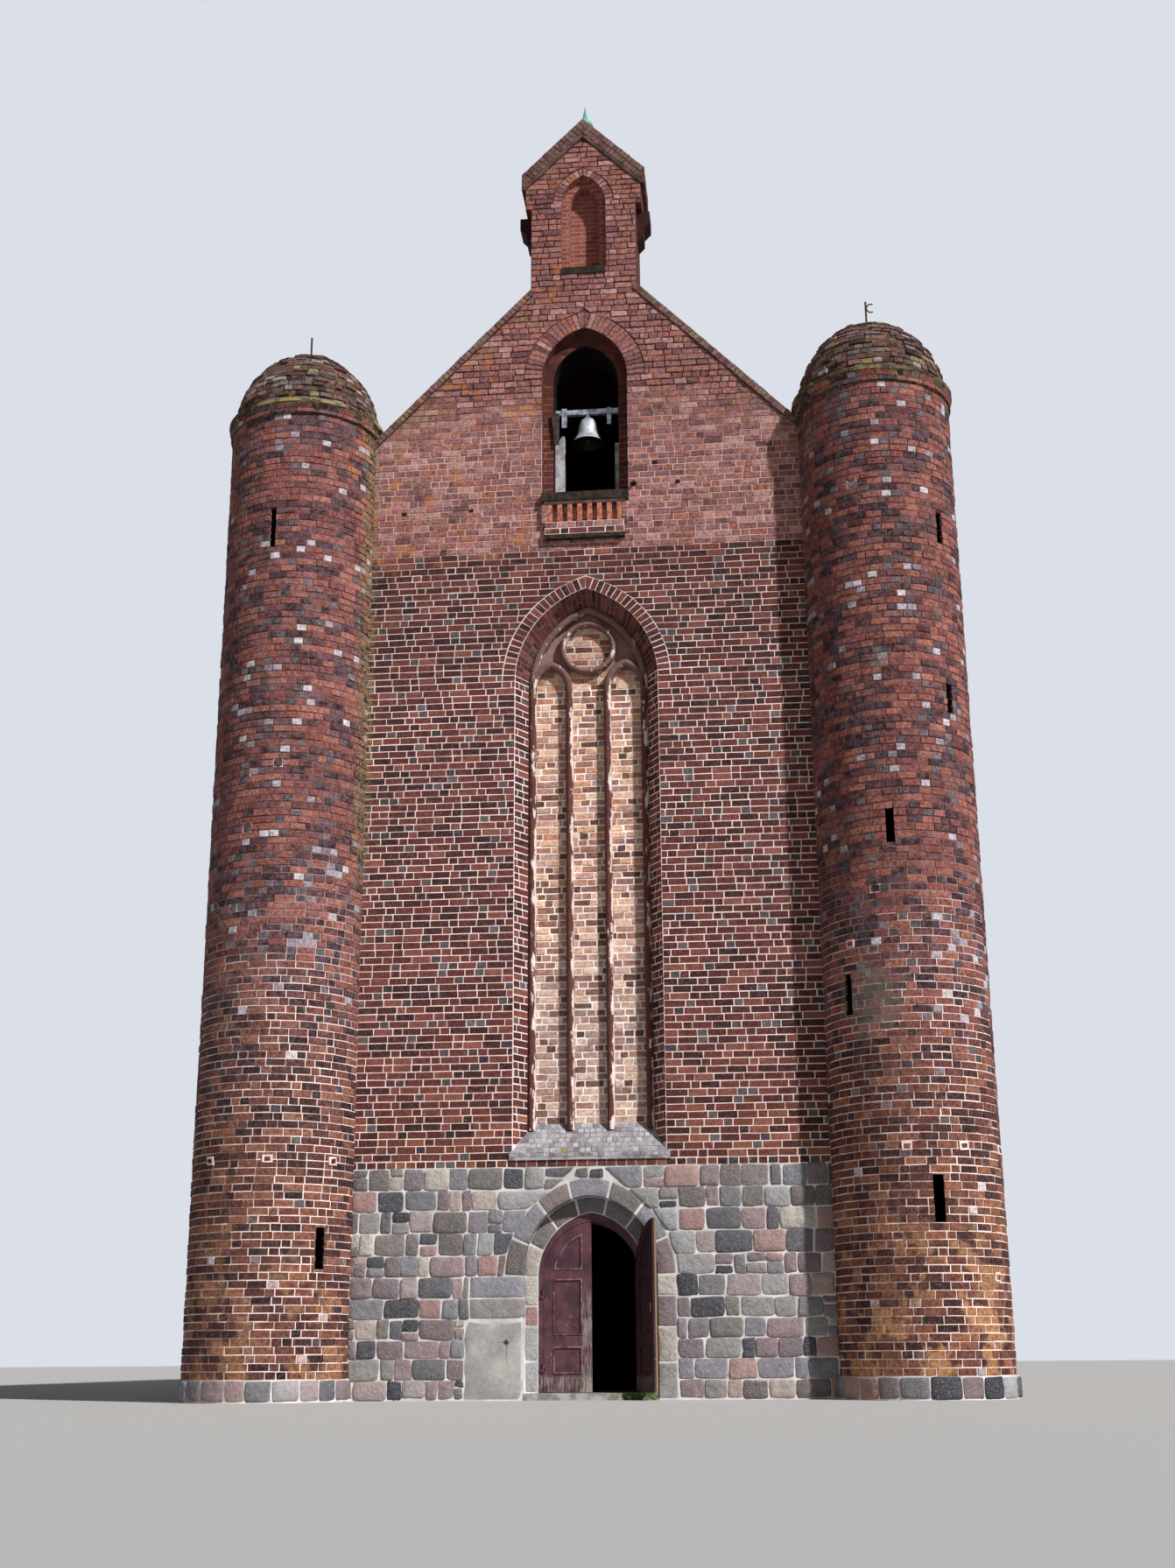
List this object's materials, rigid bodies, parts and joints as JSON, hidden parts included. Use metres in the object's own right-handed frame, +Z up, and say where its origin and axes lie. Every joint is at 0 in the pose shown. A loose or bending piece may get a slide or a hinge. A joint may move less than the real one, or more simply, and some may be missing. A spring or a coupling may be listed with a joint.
{
  "type": "brick chapel with two round stair turrets",
  "caption": "Tall brick chapel on a granite foot: gabled front with round stair turrets, blind window, open bell window, bell-cote, pointed doorway and a plain buttressed nave.",
  "frame": {"origin": "middle of the footprint at ground level", "axes": "+Z up, front with the doorway towards -Y, +X to the right as one faces the front"},
  "size_m": [11.8478, 22.1739, 21.56],
  "materials": {
    "brick": "large old bricks with light lime joints",
    "limewashed_brick": "pale worn brick with limewash",
    "granite": "rough squared fieldstone",
    "red_paint": "weathered dark red paint",
    "timber": "grey weathered timber",
    "bell_metal": "dull silver grey",
    "steel": "galvanised",
    "iron": "rusty wrought iron",
    "green_copper": "verdigris",
    "glass": "old window glass",
    "roof_tile": "plain clay tiles",
    "floor_tile": "brick floor"
  },
  "bodies": {
    "chapel": {"bell_balustrade": "brick", "bell_beam": "steel", "bell_posts": "timber", "bell_sill": "brick", "bellcote": "brick", "bellcote_coping": "brick", "bellcote_corbels": "brick", "bellcote_sill": "brick", "blind_window_panel": "limewashed_brick", "blind_window_sill": "brick", "blind_window_tracery": "brick", "buttresses_left": "brick", "buttresses_right": "brick", "door_frame": "red_paint", "door_threshold": "granite", "finial": "green_copper", "front_granite_left": "granite", "front_granite_over_door": "granite", "front_granite_right": "granite", "front_wall_left": "brick", "front_wall_over_window": "brick", "front_wall_right": "brick", "gable_below_bell": "brick", "gable_copings": "brick", "gable_left": "brick", "gable_over_bell": "brick", "gable_right": "brick", "nave_floor": "floor_tile", "nave_glass_left": "glass", "nave_glass_right": "glass", "nave_tracery_left": "brick", "nave_tracery_right": "brick", "nave_wall_left": "brick", "nave_wall_right": "brick", "portal_arch": "granite", "rear_coping": "brick", "rear_wall": "brick", "roof_left": "roof_tile", "roof_ridge": "roof_tile", "roof_right": "roof_tile", "turret_left_cap": "brick", "turret_left_corner": "brick", "turret_left_flank": "brick", "turret_left_front": "brick", "turret_left_plinth": "granite", "turret_left_spike": "iron", "turret_right_cap": "brick", "turret_right_corner": "brick", "turret_right_flank": "brick", "turret_right_front": "brick", "turret_right_plinth": "granite", "turret_right_vane": "iron"},
    "left_leaf": {"door_leaf_left": "red_paint"},
    "right_leaf": {"door_leaf_right": "red_paint"},
    "bell_body": {"bell": "bell_metal", "bell_clapper": "bell_metal"}
  },
  "joints": [
    {"name": "left_leaf_hinge", "type": "hinge", "parent": "chapel", "child": "left_leaf", "pos_m": [-0.697, -9.743, 1], "axis": [0, 0, -1], "range_deg": [0, 115]},
    {"name": "right_leaf_hinge", "type": "hinge", "parent": "chapel", "child": "right_leaf", "pos_m": [0.697, -9.743, 1], "axis": [0, 0, 1], "range_deg": [-115, 0]},
    {"name": "bell_swing", "type": "hinge", "parent": "chapel", "child": "bell_body", "pos_m": [0, -9.373, 15.56], "axis": [1, 0, 0], "range_deg": [-35, 35]}
  ]
}
